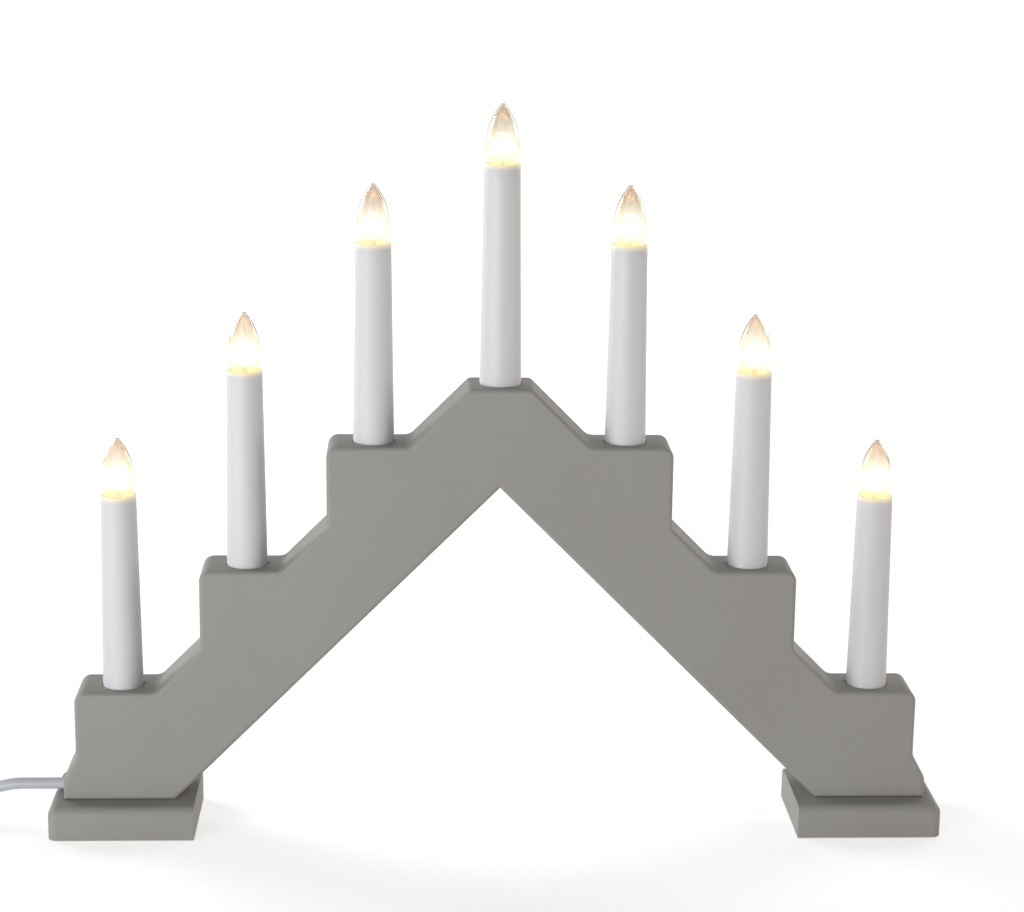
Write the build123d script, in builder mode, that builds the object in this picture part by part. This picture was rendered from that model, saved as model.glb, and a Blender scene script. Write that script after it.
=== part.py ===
from build123d import *
import math
import os

os.makedirs("parts", exist_ok=True)

# Cuts run this far past the face they open on.
overrun = 2.0
root_two = math.sqrt(2.0)
halves = 2.0

# Stepped arms of the arch: 45 degree board, level treads, upright risers.
board_depth = 28.0
arm_width = 40.0
apex_height = 199.0
apex_half_width = 13.4
apex_drop = 25.4
low_tread_height = 63.6
steps_per_arm = 3
top_riser_reach = 74.3
flare_reach = 5.7
flare_land = 9.0
flare_rise = 10.5
tread_round = 4.5
tread_hollow_share = 0.2176
riser_hollow_share = 0.1088
apex_round = 2.5
flare_round = 4.0
edge_round = 1.8

# Block feet under the outer ends.
foot_margin = 6.0
foot_length = 63.5
foot_depth = 50.0
foot_height = 14.5
foot_round = 4.0

# Candle sleeves, all alike, sunk in sockets in the treads.
candle_setback = 20.0
sleeve_length = 106.0
sleeve_base_diameter = 18.26
sleeve_rim_diameter = 15.3
sleeve_wall = 1.0
sleeve_rim_round = 0.35
socket_clearance = 0.17
step_socket_depth = 20.0
apex_socket_depth = 11.5

# Wiring groove in the underside, closed by a thin strip.
groove_width = 8.0
groove_depth = 10.0
groove_end_margin = 6.0
cover_width = 13.6
cover_thickness = 2.0
cover_clearance = 0.2

# Dowels in the glued joint at the apex.
dowel_diameter = 6.0
dowel_length = 30.0
dowel_below_socket = 13.5
dowel_spread = 17.2
dowel_chamfer = 0.8
wood_fit = 0.1

# Wood screws that hold the feet from below.
foot_screw_diameter = 3.6
foot_screw_head_diameter = 8.0
foot_screw_length = 40.0
foot_screw_point = 6.0
foot_screw_hole_clearance = 0.4
foot_screw_recess = 0.4
foot_screw_inward = 13.75
foot_screw_outward = 9.75
foot_screw_spread = 17.0

# Lampholder wedged below the rim of each sleeve, and its brass parts.
holder_depth = 6.0
holder_height = 15.0
holder_floor = 3.5
holder_clearance = 0.1
shell_diameter = 10.5
shell_wall = 0.3
shell_floor = 0.4
shell_sink = 0.5
shell_hole_diameter = 4.1
shell_clearance = 0.1
tag_width = 2.0
tag_thickness = 0.4
tag_length = 5.5
tag_offset = 2.6
tag_clearance = 0.15
feed_tag_shift = 1.2
return_tag_offset = 2.0
return_tag_shift = 2.2
contact_head_diameter = 3.4
contact_head_height = 0.5
contact_shank_diameter = 1.6
contact_tail = 1.5

# Candle bulb: glass, stem with filament, screw cap, insulated tip.
bulb_height = 25.0
bulb_diameter = 14.2
bulb_belly_height = 7.6
bulb_nib_diameter = 1.0
bulb_nib_height = 0.2
bulb_nib_bore = 0.6
glass_wall = 0.6
shoulder_depth = 4.3
neck_diameter = 8.5
neck_depth = 8.0
cap_diameter = 9.3
cap_depth = 4.5
cap_height = 10.0
cap_wall = 0.3
cap_round = 0.8
tip_diameter = 8.4
tip_waist_diameter = 4.4
tip_cone_height = 1.5
solder_diameter = 3.6
solder_flat_diameter = 2.0
stem_flare_diameter = 7.0
stem_flare_height = 1.0
stem_press_diameter = 2.4
stem_press_bottom = 4.0
stem_press_top = 1.0
support_wire_diameter = 0.5
support_spread = 4.4
support_splay_height = 4.0
support_height = 11.0
support_bend = 1.0
filament_diameter = 0.7
filament_rise = 1.8

# Wires of the series circuit.
wire_diameter = 1.8
wire_bend = 4.0
wire_hairpin = 2.0
feed_bend = 3.0
return_bend = 4.0
core_spread = 2.4
core_run = 3.0
return_side = 2.2
bore_entry_clearance = 2.4

# Mains lead, its clamp, coil, tie and two-pin plug.
cord_diameter = 5.0
cord_clearance = 0.1
channel_clearance = 0.3
cord_inset = 16.0
clamp_inset = 8.0
clamp_length = 8.0
clamp_width = 19.0
clamp_thickness = 2.0
clamp_pocket_clearance = 1.0
clamp_screw_diameter = 3.0
clamp_screw_head_diameter = 5.6
clamp_screw_length = 12.0
clamp_screw_point = 3.0
clamp_screw_spread = 13.0
clamp_screw_clearance = 0.2
lead_level_length = 45.0
lead_entry_length = 24.0
coil_offset = 96.0
coil_pitch = 5.5
coil_inner_radius = 20.0
coil_start_angle = 45.0
coil_reversal_turns = (2.25, 4.75, 7.25)
coil_end_turns = 9.125
climb_turns = 0.25
tie_thickness = 0.6
tie_width = 6.0
tie_clearance = 0.3
tie_round = 1.5
tie_head_length = 7.0
tie_head_height = 2.4
tail_first_run = 23.0
tail_drop_run = 21.0
tail_drop_share = 0.72
tail_side_step = 8.0
tail_level_run = 18.0
tail_level_step = 7.0
tail_last_run = 14.0
run_share = 0.45
plug_length = 34.0
plug_width = 26.0
plug_tail_width = 13.0
plug_thickness = 14.0
plug_shoulder = 10.0
plug_round = 2.5
relief_length = 20.0
relief_diameter = 9.0
relief_end_diameter = 6.4
pin_diameter = 4.0
pin_length = 19.0
pin_sheath_diameter = 3.8
pin_sheath_length = 10.0
pin_spacing = 19.0
pin_chamfer = 0.6
pin_root = 8.0
pin_clearance = 0.1

# Lines that the outline, the grooves and the wires share.
slope_top = apex_height + apex_half_width
under_top = slope_top - arm_width * root_two
step_pitch = (apex_height - apex_drop - low_tread_height) / (steps_per_arm - 1)
tread_heights = [apex_height - apex_drop - k * step_pitch for k in range(steps_per_arm)]
riser_reaches = [top_riser_reach + k * step_pitch for k in range(steps_per_arm)]
slope_run = (step_pitch - top_riser_reach + apex_half_width + apex_drop) * root_two
tread_hollow = tread_hollow_share * slope_run
riser_hollow = riser_hollow_share * slope_run
end_reach = riser_reaches[-1] + flare_reach
foot_reach = end_reach + foot_margin
foot_middle = foot_reach - foot_length / 2
dowel_height = apex_height - apex_socket_depth - dowel_below_socket
cover_rise = cover_thickness * root_two
groove_rise = groove_depth * root_two
wire_rise = (groove_depth + cover_thickness) / halves * root_two
wire_floor = foot_height + groove_depth / halves
wire_top = under_top + wire_rise
wire_corner = wire_top - wire_floor
cord_radius = cord_diameter / 2
cord_height = foot_height + cord_clearance + cord_radius
cord_start = -(end_reach - cord_inset)
clamp_reach = end_reach - clamp_inset

# Candles from left to right: place along the arch, floor of the socket, height of the rim.
step_candles = [reach - candle_setback for reach in riser_reaches]
seats = [(-step_candles[k], tread_heights[k] - step_socket_depth) for k in (2, 1, 0)]
seats.append((0, apex_height - apex_socket_depth))
seats += [(step_candles[k], tread_heights[k] - step_socket_depth) for k in (0, 1, 2)]
candles = [(x, floor, floor + sleeve_length) for x, floor in seats]
last = len(candles) - 1
middle = last // 2

# Screws of one foot: inner one in front, outer one behind.
foot_screw_places = [
    (foot_middle - foot_screw_inward, -foot_screw_spread / 2),
    (foot_middle + foot_screw_outward, foot_screw_spread / 2),
]
foot_screw_tip = foot_screw_recess + foot_screw_length
clamp_screw_head = foot_height - clamp_thickness
clamp_screw_places = [(-clamp_reach, -clamp_screw_spread / 2), (-clamp_reach, clamp_screw_spread / 2)]


def upright(x, y, height):
    return Plane(origin=(x, y, height), x_dir=(1, 0, 0), z_dir=(0, -1, 0))


def spindle(x, y, height):
    return Axis((x, y, height), (0, 0, 1))


# Arm: stepped outline, sockets for its candles, wiring groove with a rebate, dowel and screw holes.
def make_arm(side, name, candle_numbers):
    points = [(0, under_top), (0, apex_height), (side * apex_half_width, apex_height)]
    radii = [0, 0, apex_round]
    for k in range(steps_per_arm):
        points.append((side * (slope_top - tread_heights[k]), tread_heights[k]))
        radii.append(tread_hollow)
        points.append((side * riser_reaches[k], tread_heights[k]))
        radii.append(tread_round)
        if k < steps_per_arm - 1:
            points.append((side * riser_reaches[k], slope_top - riser_reaches[k]))
            radii.append(riser_hollow)
    points.append((side * riser_reaches[-1], foot_height + flare_land + flare_rise))
    points.append((side * end_reach, foot_height + flare_land))
    radii += [flare_round, flare_round]
    points.append((side * end_reach, foot_height))
    points.append((side * (under_top - foot_height), foot_height))
    radii += [0, 0]
    flat_end = end_reach - cord_inset if side < 0 else step_candles[-1] + groove_end_margin
    flat_start = under_top - foot_height
    with BuildPart() as arm:
        with BuildSketch(Plane.XZ):
            with BuildLine():
                FilletPolyline(*points, radius=radii, close=True)
            make_face()
        extrude(amount=board_depth / 2, both=True)
        outline = arm.faces().sort_by(Axis.Y)[0].edges() + arm.faces().sort_by(Axis.Y)[-1].edges()
        fillet(outline.filter_by(lambda edge: abs(edge.center().X) > edge_round), radius=edge_round)
        for number in candle_numbers:
            x, floor, rim = candles[number]
            with BuildSketch(Plane.XY.offset(floor)):
                with Locations((x, 0)):
                    Circle(sleeve_base_diameter / 2 + socket_clearance)
            extrude(amount=sleeve_length, mode=Mode.SUBTRACT)
            bottom = max(under_top - abs(x), foot_height)
            with BuildSketch(Plane.XY.offset(bottom)):
                with Locations((x, 0)):
                    Circle(groove_width / 2)
            extrude(amount=floor - bottom + overrun, mode=Mode.SUBTRACT)
        for rise, width in ((groove_rise, groove_width), (cover_rise, cover_width + 2 * cover_clearance)):
            with BuildSketch(Plane.XZ):
                Polygon(
                    (-side * overrun, under_top - overrun),
                    (-side * overrun, under_top + rise),
                    (0, under_top + rise),
                    (side * (under_top + rise - foot_height), foot_height),
                    (side * (under_top - overrun - foot_height), foot_height),
                    (0, under_top - overrun),
                    align=None,
                )
            extrude(amount=width / 2, both=True, mode=Mode.SUBTRACT)
        with BuildSketch(Plane.XZ):
            Polygon(
                (side * flat_start, foot_height - overrun),
                (side * flat_end, foot_height - overrun),
                (side * flat_end, foot_height + groove_depth),
                (side * flat_start, foot_height + groove_depth),
                align=None,
            )
        extrude(amount=groove_width / 2, both=True, mode=Mode.SUBTRACT)
        with BuildSketch(Plane.YZ):
            with Locations((-dowel_spread / 2, dowel_height), (dowel_spread / 2, dowel_height)):
                Circle(dowel_diameter / 2 + wood_fit)
        extrude(amount=side * (dowel_length / 2 + wood_fit), mode=Mode.SUBTRACT)
        with BuildSketch(Plane.XY.offset(foot_height - overrun)):
            with Locations(*[(side * x, y) for x, y in foot_screw_places]):
                Circle(foot_screw_diameter / 2 + wood_fit)
        extrude(amount=foot_screw_tip - foot_height + 2 * overrun, mode=Mode.SUBTRACT)
        if side < 0:
            with BuildSketch(Plane.XZ):
                Polygon(
                    (cord_start + overrun, foot_height - overrun),
                    (-end_reach - overrun, foot_height - overrun),
                    (-end_reach - overrun, cord_height + cord_radius + channel_clearance),
                    (cord_start + overrun, cord_height + cord_radius + channel_clearance),
                    align=None,
                )
            extrude(amount=cord_radius + channel_clearance, both=True, mode=Mode.SUBTRACT)
            with BuildSketch(Plane.XY.offset(foot_height - overrun)):
                with Locations(*clamp_screw_places):
                    Circle(clamp_screw_diameter / 2 + wood_fit)
            extrude(amount=clamp_screw_length + overrun, mode=Mode.SUBTRACT)
    arm.part.label = name
    export_step(arm.part, f"parts/{name}.step")


make_arm(-1, "left_arm", range(middle + 1))
make_arm(1, "right_arm", range(middle, last + 1))

# Dowels across the mitre.
with BuildPart() as apex_dowels:
    with BuildSketch(Plane.YZ.offset(-dowel_length / 2)):
        with Locations((-dowel_spread / 2, dowel_height), (dowel_spread / 2, dowel_height)):
            Circle(dowel_diameter / 2)
    extrude(amount=dowel_length)
    chamfer(apex_dowels.edges().filter_by(GeomType.CIRCLE), length=dowel_chamfer)
apex_dowels.part.label = "apex_dowels"
export_step(apex_dowels.part, "parts/apex_dowels.step")


# Strip that closes the groove, flush with the underside.
def make_cover(side, name):
    low = foot_height + cover_clearance
    near = cover_clearance / 2
    with BuildPart() as cover:
        with BuildSketch(Plane.XZ):
            Polygon(
                (side * near, under_top - near),
                (side * near, under_top + cover_rise - near),
                (side * (under_top + cover_rise - low), low),
                (side * (under_top - low), low),
                align=None,
            )
        extrude(amount=cover_width / 2, both=True)
    cover.part.label = name
    export_step(cover.part, f"parts/{name}.step")


make_cover(-1, "left_groove_cover")
make_cover(1, "right_groove_cover")


# Foot: block with rounded top edges except towards the middle, screw holes sunk from below.
def make_foot(side, name):
    inner = side * (foot_reach - foot_length)
    sink = foot_screw_head_diameter / 2 + foot_screw_recess + wood_fit
    hole = foot_screw_diameter / 2 + foot_screw_hole_clearance
    with BuildPart() as foot:
        with BuildSketch():
            with Locations((side * foot_middle, 0)):
                Rectangle(foot_length, foot_depth)
        extrude(amount=foot_height)
        rim = foot.edges().group_by(Axis.Z)[-1] + foot.edges().filter_by(Axis.Z)
        fillet(rim.filter_by(lambda edge: abs(edge.center().X - inner) > foot_round), radius=foot_round)
        for x, y in foot_screw_places:
            with BuildSketch(upright(side * x, y, 0)):
                Polygon(
                    (0, -overrun),
                    (sink + overrun, -overrun),
                    (hole, sink - hole),
                    (hole, foot_height + overrun),
                    (0, foot_height + overrun),
                    align=None,
                )
            revolve(axis=spindle(side * x, y, 0), mode=Mode.SUBTRACT)
        if side < 0:
            with BuildSketch(Plane.XY.offset(foot_height - clamp_thickness - clamp_pocket_clearance)):
                with Locations((-clamp_reach, 0)):
                    Rectangle(clamp_length + 2 * clamp_pocket_clearance, clamp_width + 2 * clamp_pocket_clearance)
            extrude(amount=foot_height, mode=Mode.SUBTRACT)
    foot.part.label = name
    export_step(foot.part, f"parts/{name}.step")


make_foot(-1, "left_foot")
make_foot(1, "right_foot")

# Wood screws of both feet: countersunk head, plain shank, point.
with BuildPart() as foot_screws:
    for side in (-1, 1):
        for x, y in foot_screw_places:
            with BuildSketch(upright(side * x, y, foot_screw_recess)):
                Polygon(
                    (0, 0),
                    (foot_screw_head_diameter / 2, 0),
                    (foot_screw_diameter / 2, (foot_screw_head_diameter - foot_screw_diameter) / 2),
                    (foot_screw_diameter / 2, foot_screw_length - foot_screw_point),
                    (0, foot_screw_length),
                    align=None,
                )
            revolve(axis=spindle(side * x, y, foot_screw_recess))
foot_screws.part.label = "foot_screws"
export_step(foot_screws.part, "parts/foot_screws.step")

# Clamp plate that holds the lead up in its channel.
clamp_sink = clamp_screw_head_diameter / 2 + wood_fit
clamp_hole = clamp_screw_diameter / 2 + clamp_screw_clearance
with BuildPart() as cord_clamp:
    with BuildSketch(Plane.XY.offset(clamp_screw_head)):
        with Locations((-clamp_reach, 0)):
            Rectangle(clamp_length, clamp_width)
    extrude(amount=clamp_thickness)
    fillet(cord_clamp.edges().filter_by(Axis.Z), radius=edge_round)
    for x, y in clamp_screw_places:
        with BuildSketch(upright(x, y, clamp_screw_head)):
            Polygon(
                (0, -overrun),
                (clamp_sink + overrun, -overrun),
                (clamp_hole, clamp_sink - clamp_hole),
                (clamp_hole, clamp_thickness + overrun),
                (0, clamp_thickness + overrun),
                align=None,
            )
        revolve(axis=spindle(x, y, clamp_screw_head), mode=Mode.SUBTRACT)
cord_clamp.part.label = "cord_clamp"
export_step(cord_clamp.part, "parts/cord_clamp.step")

with BuildPart() as clamp_screws:
    for x, y in clamp_screw_places:
        with BuildSketch(upright(x, y, clamp_screw_head)):
            Polygon(
                (0, 0),
                (clamp_screw_head_diameter / 2, 0),
                (clamp_screw_diameter / 2, (clamp_screw_head_diameter - clamp_screw_diameter) / 2),
                (clamp_screw_diameter / 2, clamp_screw_length - clamp_screw_point),
                (0, clamp_screw_length),
                align=None,
            )
        revolve(axis=spindle(x, y, clamp_screw_head))
clamp_screws.part.label = "clamp_screws"
export_step(clamp_screws.part, "parts/clamp_screws.step")


# Candle sleeve: thin tapered tube with a softly rounded rim.
def make_sleeve(x, floor, name):
    base = sleeve_base_diameter / 2
    rim = sleeve_rim_diameter / 2
    with BuildPart() as sleeve:
        with BuildSketch(upright(x, 0, floor)):
            with BuildLine():
                FilletPolyline(
                    (base - sleeve_wall, 0),
                    (base, 0),
                    (rim, sleeve_length),
                    (rim - sleeve_wall, sleeve_length),
                    radius=[0, 0, sleeve_rim_round, sleeve_rim_round],
                    close=True,
                )
            make_face()
        revolve(axis=spindle(x, 0, floor))
    sleeve.part.label = name
    export_step(sleeve.part, f"parts/{name}.step")


for number, (x, floor, rim) in enumerate(candles, 1):
    make_sleeve(x, floor, f"candle_sleeve_{number}")

# Place of each shell's wire tag beside the middle of its lampholder.
tags = [(-tag_offset, 0)] * (middle + 1) + [(tag_offset, 0)] * middle
tags[0] = (-tag_offset, -feed_tag_shift)
tags[last] = (return_tag_offset, return_tag_shift)

# Lampholders: cups wedged in the taper of the sleeves, with a slot for the tag and a hole for the contact.
taper = (sleeve_base_diameter - sleeve_rim_diameter) / 2 / sleeve_length
holder_bore = shell_diameter / 2 + shell_clearance
holder_bottom = holder_depth + holder_height
holder_seat = holder_bottom - holder_floor
rim_bore = sleeve_rim_diameter / 2 - sleeve_wall - holder_clearance
with BuildPart() as lampholders:
    for x, floor, rim in candles:
        with BuildSketch(upright(x, 0, rim)):
            Polygon(
                (contact_shank_diameter / 2 + holder_clearance, -holder_seat),
                (holder_bore, -holder_seat),
                (holder_bore, -holder_depth),
                (rim_bore + taper * holder_depth, -holder_depth),
                (rim_bore + taper * holder_bottom, -holder_bottom),
                (contact_shank_diameter / 2 + holder_clearance, -holder_bottom),
                align=None,
            )
        revolve(axis=spindle(x, 0, rim))
    for (x, floor, rim), (across, along) in zip(candles, tags):
        with BuildSketch(Plane.XY.offset(rim - holder_bottom - overrun)):
            with Locations((x + across, along)):
                Rectangle(tag_thickness + 2 * tag_clearance, tag_width + 2 * tag_clearance)
        extrude(amount=holder_floor + 2 * overrun, mode=Mode.SUBTRACT)
lampholders.part.label = "lampholders"
export_step(lampholders.part, "parts/lampholders.step")

# Screw shells: brass cups with a hole round the contact and a tag through the lampholder's floor.
with BuildPart() as socket_shells:
    for (x, floor, rim), (across, along) in zip(candles, tags):
        with BuildSketch(upright(x, 0, rim)):
            Polygon(
                (shell_hole_diameter / 2, -holder_seat),
                (shell_diameter / 2, -holder_seat),
                (shell_diameter / 2, -holder_depth - shell_sink),
                (shell_diameter / 2 - shell_wall, -holder_depth - shell_sink),
                (shell_diameter / 2 - shell_wall, shell_floor - holder_seat),
                (shell_hole_diameter / 2, shell_floor - holder_seat),
                align=None,
            )
        revolve(axis=spindle(x, 0, rim))
        with BuildSketch(Plane.XY.offset(rim - holder_seat - tag_length)):
            with Locations((x + across, along)):
                Rectangle(tag_thickness, tag_width)
        extrude(amount=tag_length + shell_floor)
socket_shells.part.label = "socket_shells"
export_step(socket_shells.part, "parts/socket_shells.step")

# Centre contacts: flat rivets through the lampholder's floor.
with BuildPart() as centre_contacts:
    for x, floor, rim in candles:
        with BuildSketch(upright(x, 0, rim)):
            Polygon(
                (0, contact_head_height - holder_seat),
                (contact_head_diameter / 2, contact_head_height - holder_seat),
                (contact_head_diameter / 2, -holder_seat),
                (contact_shank_diameter / 2, -holder_seat),
                (contact_shank_diameter / 2, -holder_bottom - contact_tail),
                (0, -holder_bottom - contact_tail),
                align=None,
            )
        revolve(axis=spindle(x, 0, rim))
centre_contacts.part.label = "centre_contacts"
export_step(centre_contacts.part, "parts/centre_contacts.step")

# Bulb outline: one arc from the nib to the belly, one from the belly to the shoulder, same centres inside.
belly = bulb_diameter / 2
nib = bulb_nib_diameter / 2
nib_level = bulb_height - bulb_nib_height
neck = neck_diameter / 2
crown_rise = nib_level - bulb_belly_height
crown_inset = belly - nib
crown_radius = (crown_rise**2 + crown_inset**2) / (2 * crown_inset)
waist_drop = bulb_belly_height + shoulder_depth
waist_inset = belly - neck
waist_radius = (waist_drop**2 + waist_inset**2) / (2 * waist_inset)


def bow(radius, outer, level):
    return belly - outer + math.sqrt(radius**2 - (level - bulb_belly_height) ** 2)


crown_inner = crown_radius - glass_wall
waist_inner = waist_radius - glass_wall
inner_nib = bulb_nib_bore / 2
inner_top = bulb_belly_height + math.sqrt(crown_inner**2 - (inner_nib + crown_radius - belly) ** 2)
inner_neck = neck - glass_wall
inner_shoulder = bulb_belly_height - math.sqrt(waist_inner**2 - (inner_neck + waist_radius - belly) ** 2)
crown_level = (nib_level + bulb_belly_height) / 2
waist_level = (bulb_belly_height - shoulder_depth) / 2
inner_crown_level = (inner_top + bulb_belly_height) / 2
inner_waist_level = (bulb_belly_height + inner_shoulder) / 2


# Bulb glass: candle-shaped envelope, open at the neck.
def make_glass(x, rim, name):
    with BuildPart() as glass:
        with BuildSketch(upright(x, 0, rim)):
            with BuildLine():
                Line((0, inner_top), (0, bulb_height))
                Line((0, bulb_height), (nib, nib_level))
                ThreePointArc(
                    (nib, nib_level),
                    (bow(crown_radius, crown_radius, crown_level), crown_level),
                    (belly, bulb_belly_height),
                )
                ThreePointArc(
                    (belly, bulb_belly_height),
                    (bow(waist_radius, waist_radius, waist_level), waist_level),
                    (neck, -shoulder_depth),
                )
                Line((neck, -shoulder_depth), (neck, -neck_depth))
                Line((neck, -neck_depth), (inner_neck, -neck_depth))
                Line((inner_neck, -neck_depth), (inner_neck, inner_shoulder))
                ThreePointArc(
                    (inner_neck, inner_shoulder),
                    (bow(waist_inner, waist_radius, inner_waist_level), inner_waist_level),
                    (belly - glass_wall, bulb_belly_height),
                )
                ThreePointArc(
                    (belly - glass_wall, bulb_belly_height),
                    (bow(crown_inner, crown_radius, inner_crown_level), inner_crown_level),
                    (inner_nib, inner_top),
                )
                Line((inner_nib, inner_top), (0, inner_top))
            make_face()
        revolve(axis=spindle(x, 0, rim))
    glass.part.label = name
    export_step(glass.part, f"parts/{name}.step")


# Screw cap: brass cup cemented on the neck.
def make_cap(x, rim, name):
    outer = cap_diameter / 2
    bottom = cap_depth + cap_height
    with BuildPart() as cap:
        with BuildSketch(upright(x, 0, rim)):
            with BuildLine():
                FilletPolyline(
                    (0, -bottom),
                    (outer, -bottom),
                    (outer, -cap_depth),
                    (outer - cap_wall, -cap_depth),
                    (outer - cap_wall, cap_wall - bottom),
                    (0, cap_wall - bottom),
                    radius=[0, cap_round, 0, 0, cap_round - cap_wall, 0],
                    close=True,
                )
            make_face()
        revolve(axis=spindle(x, 0, rim))
    cap.part.label = name
    export_step(cap.part, f"parts/{name}.step")


# Insulating cone and solder dome under the cap.
def make_tip(x, rim, name):
    top = cap_depth + cap_height
    waist = top + tip_cone_height
    bottom = holder_seat - contact_head_height
    with BuildPart() as tip:
        with BuildSketch(upright(x, 0, rim)):
            Polygon(
                (0, -top),
                (tip_diameter / 2 - cap_round, -top),
                (tip_waist_diameter / 2, -waist),
                (solder_diameter / 2, -waist),
                (solder_flat_diameter / 2, -bottom),
                (0, -bottom),
                align=None,
            )
        revolve(axis=spindle(x, 0, rim))
    tip.part.label = name
    export_step(tip.part, f"parts/{name}.step")


# Stem sealed in the neck, two supports and the filament between their tops.
def make_filament(x, rim, name):
    spread = support_spread / 2
    press = stem_press_diameter / 2
    root = press - support_wire_diameter
    with BuildPart() as filament:
        with BuildSketch(upright(x, 0, rim)):
            Polygon(
                (0, -neck_depth),
                (stem_flare_diameter / 2, -neck_depth),
                (stem_flare_diameter / 2, stem_flare_height - neck_depth),
                (press, -stem_press_bottom),
                (press, stem_press_top),
                (0, stem_press_top),
                align=None,
            )
        revolve(axis=spindle(x, 0, rim))
        for side in (-1, 1):
            with BuildLine(upright(x, 0, rim)) as support:
                FilletPolyline(
                    (side * root, 0),
                    (side * root, stem_press_top + support_bend),
                    (side * spread, support_splay_height + support_bend),
                    (side * spread, support_height),
                    radius=support_bend,
                )
            with BuildSketch(Plane(origin=support.line @ 0, z_dir=support.line % 0)):
                Circle(support_wire_diameter / 2)
            sweep()
        with BuildLine(upright(x, 0, rim)) as hoop:
            ThreePointArc((-spread, support_height), (0, support_height + filament_rise), (spread, support_height))
        with BuildSketch(Plane(origin=hoop.line @ 0, z_dir=hoop.line % 0)):
            Circle(filament_diameter / 2)
        sweep()
    filament.part.label = name
    export_step(filament.part, f"parts/{name}.step")


for number, (x, floor, rim) in enumerate(candles, 1):
    make_glass(x, rim, f"bulb_glass_{number}")
    make_cap(x, rim, f"bulb_cap_{number}")
    make_tip(x, rim, f"bulb_tip_{number}")
    make_filament(x, rim, f"bulb_filament_{number}")


def contact_end(number):
    x, floor, rim = candles[number]
    return (x, 0, rim - holder_bottom - contact_tail)


def tag_end(number):
    x, floor, rim = candles[number]
    across, along = tags[number]
    return (x + across, along, rim - holder_seat - tag_length)


# Link wires: from each contact down its sleeve, along the groove and up to the next shell's tag.
def link_route(start, end):
    points = [start]
    radii = []
    if abs(start[0]) > wire_corner:
        points.append((start[0], 0, wire_floor))
        points.append((math.copysign(wire_corner, start[0]), 0, wire_floor))
        radii += [wire_bend, wire_bend]
    else:
        points.append((start[0], 0, wire_top - abs(start[0])))
        radii.append(wire_hairpin)
    points.append((end[0], 0, wire_top - abs(end[0])))
    radii.append(wire_bend)
    points.append(end)
    return points, radii


links = [link_route(contact_end(k), tag_end(k + 1)) for k in range(middle)]
links += [link_route(contact_end(last - k), tag_end(last - k - 1)) for k in range(middle - 1)]
links.append(link_route(contact_end(middle + 1), contact_end(middle)))
with BuildPart() as link_wires:
    for points, radii in links:
        with BuildLine() as route:
            FilletPolyline(*points, radius=radii)
        with BuildSketch(Plane(origin=route.line @ 0, z_dir=route.line % 0)):
            Circle(wire_diameter / 2)
        sweep()
link_wires.part.label = "link_wires"
export_step(link_wires.part, "parts/link_wires.step")

# Feed wire: from the lead's end up to the first shell.
feed_tag = tag_end(0)
with BuildPart() as feed_wire:
    with BuildLine() as feed_route:
        FilletPolyline(
            (cord_start, -core_spread / 2, cord_height),
            (feed_tag[0], -core_spread / 2, cord_height),
            feed_tag,
            radius=feed_bend,
        )
    with BuildSketch(Plane(origin=feed_route.line @ 0, z_dir=feed_route.line % 0)):
        Circle(wire_diameter / 2)
    sweep()
feed_wire.part.label = "feed_wire"
export_step(feed_wire.part, "parts/feed_wire.step")

# Return wire: from the last shell through both grooves, beside the links, to the lead's end.
return_tag = tag_end(last)
first_candle = candles[0][0]
with BuildPart() as return_wire:
    with BuildLine() as return_route:
        FilletPolyline(
            (cord_start, core_spread / 2, cord_height),
            (cord_start + core_run, core_spread / 2, cord_height),
            (first_candle - bore_entry_clearance, return_side, cord_height),
            (-wire_corner, return_side, wire_floor),
            (0, return_side, wire_top),
            (wire_corner, return_side, wire_floor),
            (return_tag[0], return_side, wire_floor),
            return_tag,
            radius=return_bend,
        )
    with BuildSketch(Plane(origin=return_route.line @ 0, z_dir=return_route.line % 0)):
        Circle(wire_diameter / 2)
    sweep()
return_wire.part.label = "return_wire"
export_step(return_wire.part, "parts/return_wire.step")

# Coil of the lead: the radius runs in and out once a layer, and the lead climbs where it turns back.
coil_rest = tie_thickness + tie_clearance + cord_radius
coil_middle = -end_reach - coil_offset
turn_knots = [0, *coil_reversal_turns, coil_end_turns]
reversal_radii = [coil_inner_radius + coil_pitch * coil_reversal_turns[0]]
for knot, (begin, finish) in enumerate(zip(turn_knots, turn_knots[1:])):
    step = coil_pitch * (finish - begin)
    reversal_radii.append(reversal_radii[-1] + (step if knot % 2 else -step))


def coil_node(turns):
    knot = max(k for k in range(len(turn_knots) - 1) if turns >= turn_knots[k])
    climbing = turns in coil_reversal_turns
    ended = turns in (0, coil_end_turns)
    drift = 0 if climbing or ended else (coil_pitch if knot % 2 else -coil_pitch) / math.tau
    rate = (coil_pitch if knot % 2 else -coil_pitch) * (turns - turn_knots[knot])
    radius = reversal_radii[knot] + rate
    layers = sum(turns > reversal + climb_turns / 2 for reversal in coil_reversal_turns)
    height = coil_rest + coil_pitch * (layers + climbing / 2)
    angle = math.radians(coil_start_angle) + math.tau * turns
    outward = Vector(math.cos(angle), math.sin(angle), 0)
    ahead = Vector(-math.sin(angle), math.cos(angle), 0)
    climb = Vector(0, 0, coil_pitch * 3 / math.tau if climbing else 0)
    place = Vector(coil_middle, 0, height) + outward * radius
    return place, (ahead * radius + outward * drift + climb).normalized()


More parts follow.
